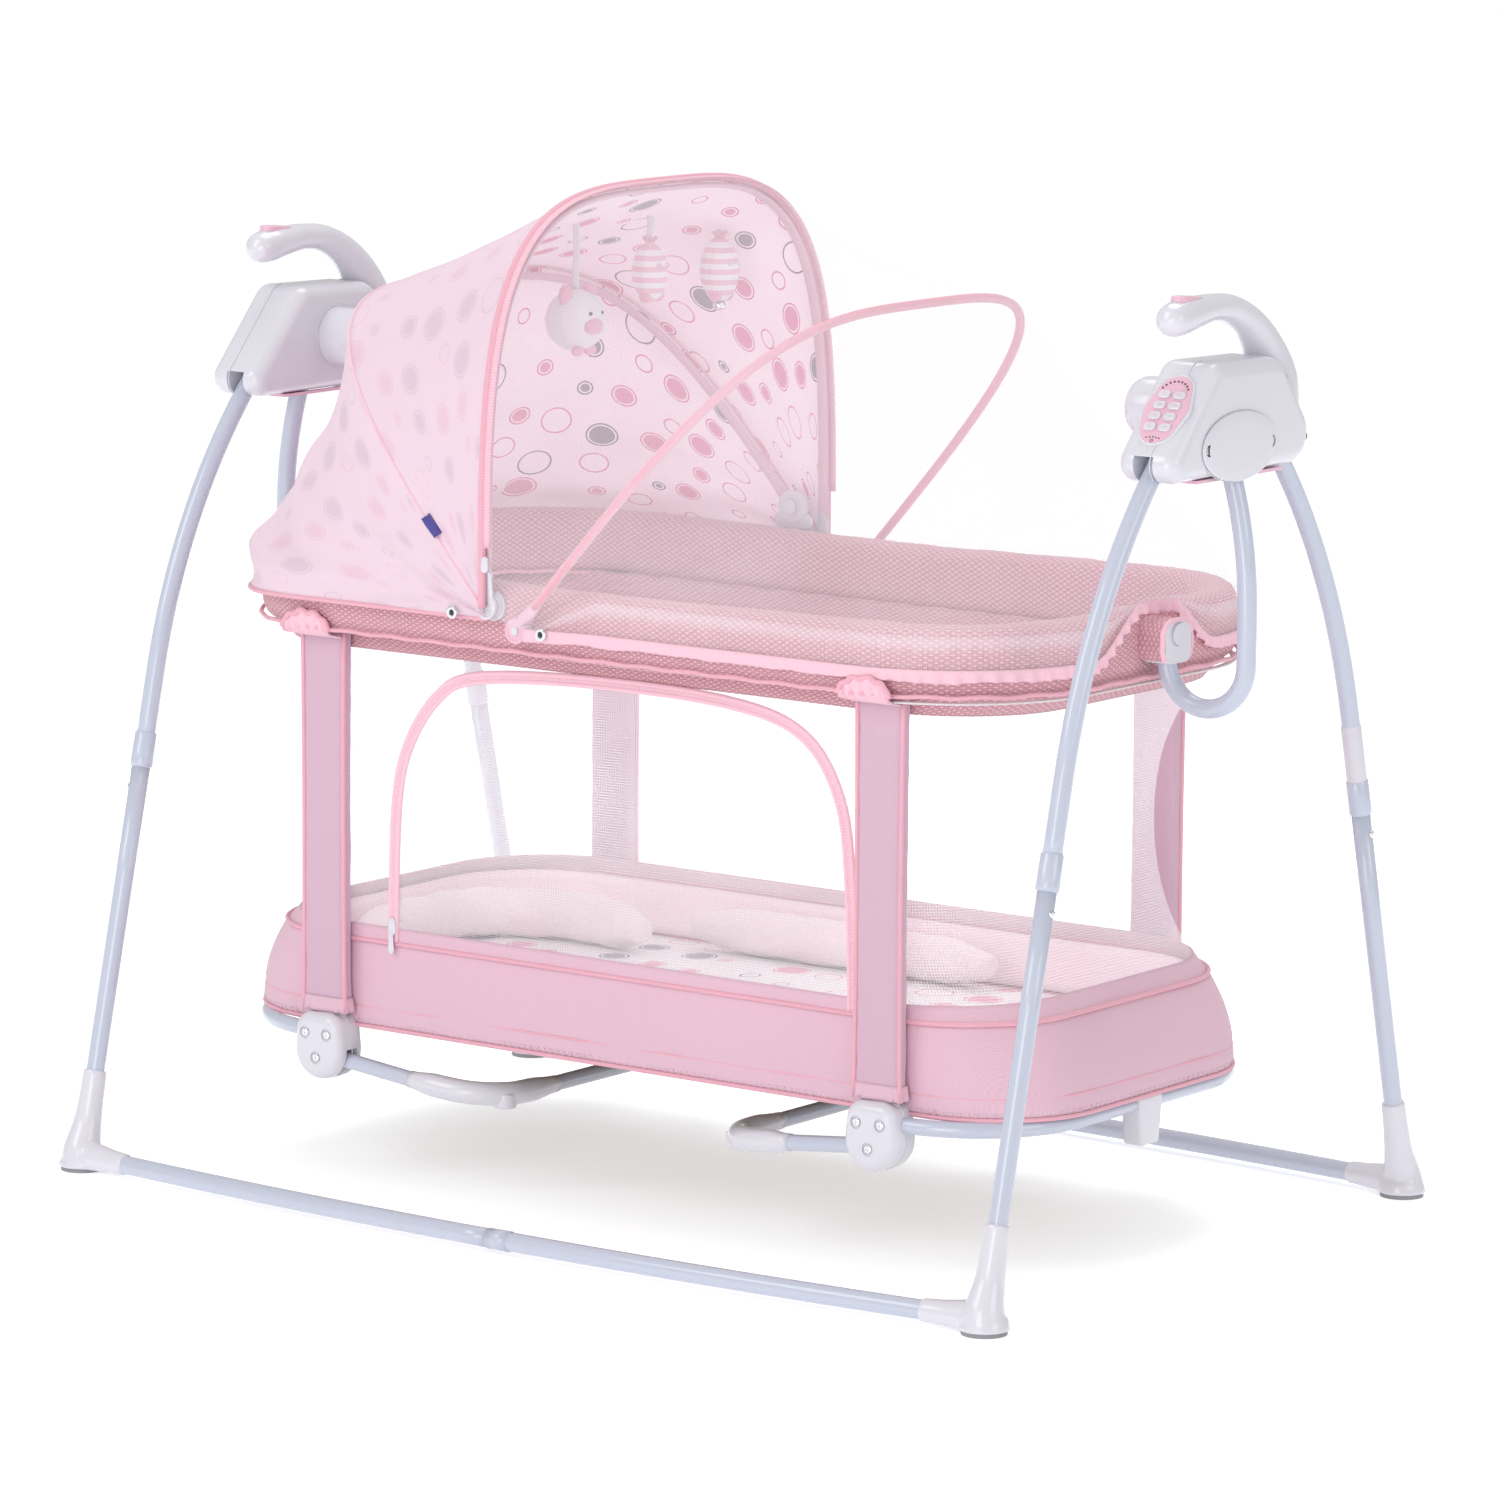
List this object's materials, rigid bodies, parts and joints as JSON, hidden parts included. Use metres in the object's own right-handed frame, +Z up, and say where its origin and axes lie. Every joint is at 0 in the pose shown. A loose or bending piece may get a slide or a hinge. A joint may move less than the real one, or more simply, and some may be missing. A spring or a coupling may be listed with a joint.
{
  "type": "baby swing",
  "caption": "Powered baby swing: a padded hanging crib with mesh walls, folding hood and sheer net, hung between swing heads on a folding tube stand.",
  "frame": {"origin": "on the floor under the middle of the swing", "axes": "+X along the crib to its foot end, -Y to the side with the door, +Z up"},
  "size_m": [1.223, 0.8178, 1.015],
  "materials": {
    "tube_paint": "pale blue-grey gloss paint",
    "white_plastic": "white with a faint lavender tint, gloss",
    "pink_plastic": "pink, satin gloss",
    "foot_rubber": "grey rubber",
    "steel": "turned",
    "screw_chrome": "bright",
    "nylon": "natural",
    "black_plastic": "matt",
    "board_green": "lacquered",
    "copper_coil": "enamelled wire",
    "rail_fabric": "pink spacer mesh over padding",
    "mesh_fabric": "fine white net",
    "zip_tape": "zip with pink piping",
    "pink_fabric": "plain weave, pink",
    "hood_fabric": "thin pink polyester with a circle print inside",
    "net_fabric": "sheer white net",
    "hardboard": "brown hardboard",
    "print_fabric": "white with a pink and grey circle print",
    "nest_fabric": "pale pink brushed cotton",
    "plush": "short plush"
  },
  "bodies": {
    "stand": {"head_shell_right": "white_plastic", "head_shell_left": "white_plastic", "head_covers": "white_plastic", "carry_handles": "white_plastic", "control_panel": "pink_plastic", "slot_trims": "pink_plastic", "speaker": "black_plastic", "circuit_board": "board_green", "drive_coil": "copper_coil", "axle_bushes": "nylon", "leg_pins": "steel", "power_inlet": "black_plastic", "rear_upper_legs": "tube_paint", "rear_lower_tubes": "tube_paint", "rear_feet": "white_plastic", "rear_foot_pads": "foot_rubber"},
    "front_frame": {"front_upper_legs": "tube_paint", "front_lower_tubes": "tube_paint", "front_feet": "white_plastic", "front_foot_pads": "foot_rubber"},
    "cradle": {"swing_shafts": "steel", "hangers": "tube_paint", "end_brackets": "white_plastic", "rail_tube": "tube_paint", "rail_cover": "rail_fabric", "mesh_walls": "mesh_fabric", "door_zip": "zip_tape", "base_band": "pink_fabric", "base_board": "hardboard", "mattress": "print_fabric", "bolsters": "nest_fabric", "corner_posts": "pink_fabric", "corner_hubs": "white_plastic", "hub_screws": "screw_chrome", "end_rails": "tube_paint", "foot_blocks": "white_plastic", "hood_mounts": "white_plastic", "canopy": "hood_fabric", "net": "net_fabric"},
    "fold_button_right": {"fold_button_right": "pink_plastic"},
    "fold_button_left": {"fold_button_left": "pink_plastic"},
    "release_button_right": {"release_button_right": "white_plastic"},
    "release_button_left": {"release_button_left": "white_plastic"},
    "zip_slider": {"zip_slider": "white_plastic"},
    "leg_loop_right": {"leg_loop_right": "tube_paint"},
    "leg_loop_left": {"leg_loop_left": "tube_paint"},
    "hood_rear": {"hood_rear_bow": "pink_fabric"},
    "hood_front": {"hood_front_bow": "pink_fabric"},
    "net_bow": {"net_bow": "pink_fabric"},
    "toy_ball": {"toy_ball": "plush"},
    "toy_ring": {"toy_ring": "plush"},
    "toy_bell": {"toy_bell": "plush"},
    "key_1": {"key_1": "white_plastic"},
    "key_2": {"key_2": "white_plastic"},
    "key_3": {"key_3": "white_plastic"},
    "key_4": {"key_4": "white_plastic"},
    "key_5": {"key_5": "white_plastic"},
    "key_6": {"key_6": "white_plastic"},
    "key_7": {"key_7": "white_plastic"},
    "key_8": {"key_8": "white_plastic"}
  },
  "joints": [
    {"name": "front_frame_fold", "type": "hinge", "parent": "stand", "child": "front_frame", "pos_m": [0, -0.08576, 0.80719], "axis": [1, 0, 0], "range_deg": [0, 36]},
    {"name": "swing", "type": "hinge", "parent": "stand", "child": "cradle", "pos_m": [0, 0, 0.83], "axis": [1, 0, 0], "range_deg": [-14, 14]},
    {"name": "hood_rear_fold", "type": "hinge", "parent": "cradle", "child": "hood_rear", "pos_m": [-0.105, 0, 0.613], "axis": [0, -1, 0], "range_deg": [0, 36]},
    {"name": "hood_front_fold", "type": "hinge", "parent": "hood_rear", "child": "hood_front", "pos_m": [-0.105, 0, 0.613], "axis": [0, -1, 0], "range_deg": [0, 28.1], "deforming": ["canopy"]},
    {"name": "net_bow_tilt", "type": "hinge", "parent": "cradle", "child": "net_bow", "pos_m": [-0.066, 0, 0.593], "axis": [0, 1, 0], "range_deg": [-40, 32], "deforming": ["net"]},
    {"name": "leg_fold_right", "type": "hinge", "parent": "cradle", "child": "leg_loop_right", "pos_m": [0.346, 0, 0.1258], "axis": [0, -1, 0], "range_deg": [0, 87]},
    {"name": "leg_fold_left", "type": "hinge", "parent": "cradle", "child": "leg_loop_left", "pos_m": [-0.346, 0, 0.1258], "axis": [0, 1, 0], "range_deg": [0, 87]},
    {"name": "release_right", "type": "slide", "parent": "cradle", "child": "release_button_right", "axis": [-1, 0, 0], "range_m": [0, 0.002], "stiffness_N_per_m": 600},
    {"name": "release_left", "type": "slide", "parent": "cradle", "child": "release_button_left", "axis": [1, 0, 0], "range_m": [0, 0.002], "stiffness_N_per_m": 600},
    {"name": "fold_release_right", "type": "slide", "parent": "stand", "child": "fold_button_right", "axis": [0, -0.0872, -0.9962], "range_m": [0, 0.003], "stiffness_N_per_m": 600},
    {"name": "fold_release_left", "type": "slide", "parent": "stand", "child": "fold_button_left", "axis": [0, -0.0872, -0.9962], "range_m": [0, 0.003], "stiffness_N_per_m": 600},
    {"name": "door_zip_pull", "type": "slide", "parent": "cradle", "child": "zip_slider", "axis": [0.0349, 0, 0.9994], "range_m": [0, 0.11]},
    {"name": "toy_ball_swing", "type": "hinge", "parent": "hood_front", "child": "toy_ball", "pos_m": [-0.167, -0.06, 0.972], "axis": [1, 0, 0], "range_deg": [-15, 15]},
    {"name": "toy_ring_swing", "type": "hinge", "parent": "hood_front", "child": "toy_ring", "pos_m": [-0.167, 0.062, 0.972], "axis": [1, 0, 0], "range_deg": [-15, 15]},
    {"name": "toy_bell_swing", "type": "hinge", "parent": "hood_front", "child": "toy_bell", "pos_m": [-0.167, 0.18, 0.95], "axis": [1, 0, 0], "range_deg": [-15, 15]},
    {"name": "key_1_press", "type": "slide", "parent": "stand", "child": "key_1", "axis": [0, 0.7508, -0.6605], "range_m": [0, 0.0008], "stiffness_N_per_m": 300},
    {"name": "key_2_press", "type": "slide", "parent": "stand", "child": "key_2", "axis": [0, 0.7508, -0.6605], "range_m": [0, 0.0008], "stiffness_N_per_m": 300},
    {"name": "key_3_press", "type": "slide", "parent": "stand", "child": "key_3", "axis": [0, 0.7508, -0.6605], "range_m": [0, 0.0008], "stiffness_N_per_m": 300},
    {"name": "key_4_press", "type": "slide", "parent": "stand", "child": "key_4", "axis": [0, 0.7508, -0.6605], "range_m": [0, 0.0008], "stiffness_N_per_m": 300},
    {"name": "key_5_press", "type": "slide", "parent": "stand", "child": "key_5", "axis": [0, 0.7508, -0.6605], "range_m": [0, 0.0008], "stiffness_N_per_m": 300},
    {"name": "key_6_press", "type": "slide", "parent": "stand", "child": "key_6", "axis": [0, 0.7508, -0.6605], "range_m": [0, 0.0008], "stiffness_N_per_m": 300},
    {"name": "key_7_press", "type": "slide", "parent": "stand", "child": "key_7", "axis": [0, 0.7508, -0.6605], "range_m": [0, 0.0008], "stiffness_N_per_m": 300},
    {"name": "key_8_press", "type": "slide", "parent": "stand", "child": "key_8", "axis": [0, 0.7508, -0.6605], "range_m": [0, 0.0008], "stiffness_N_per_m": 300}
  ],
  "couplings": [
    {"joint": "hood_front_fold", "follows": "hood_rear_fold", "ratio": 0.7778}
  ]
}
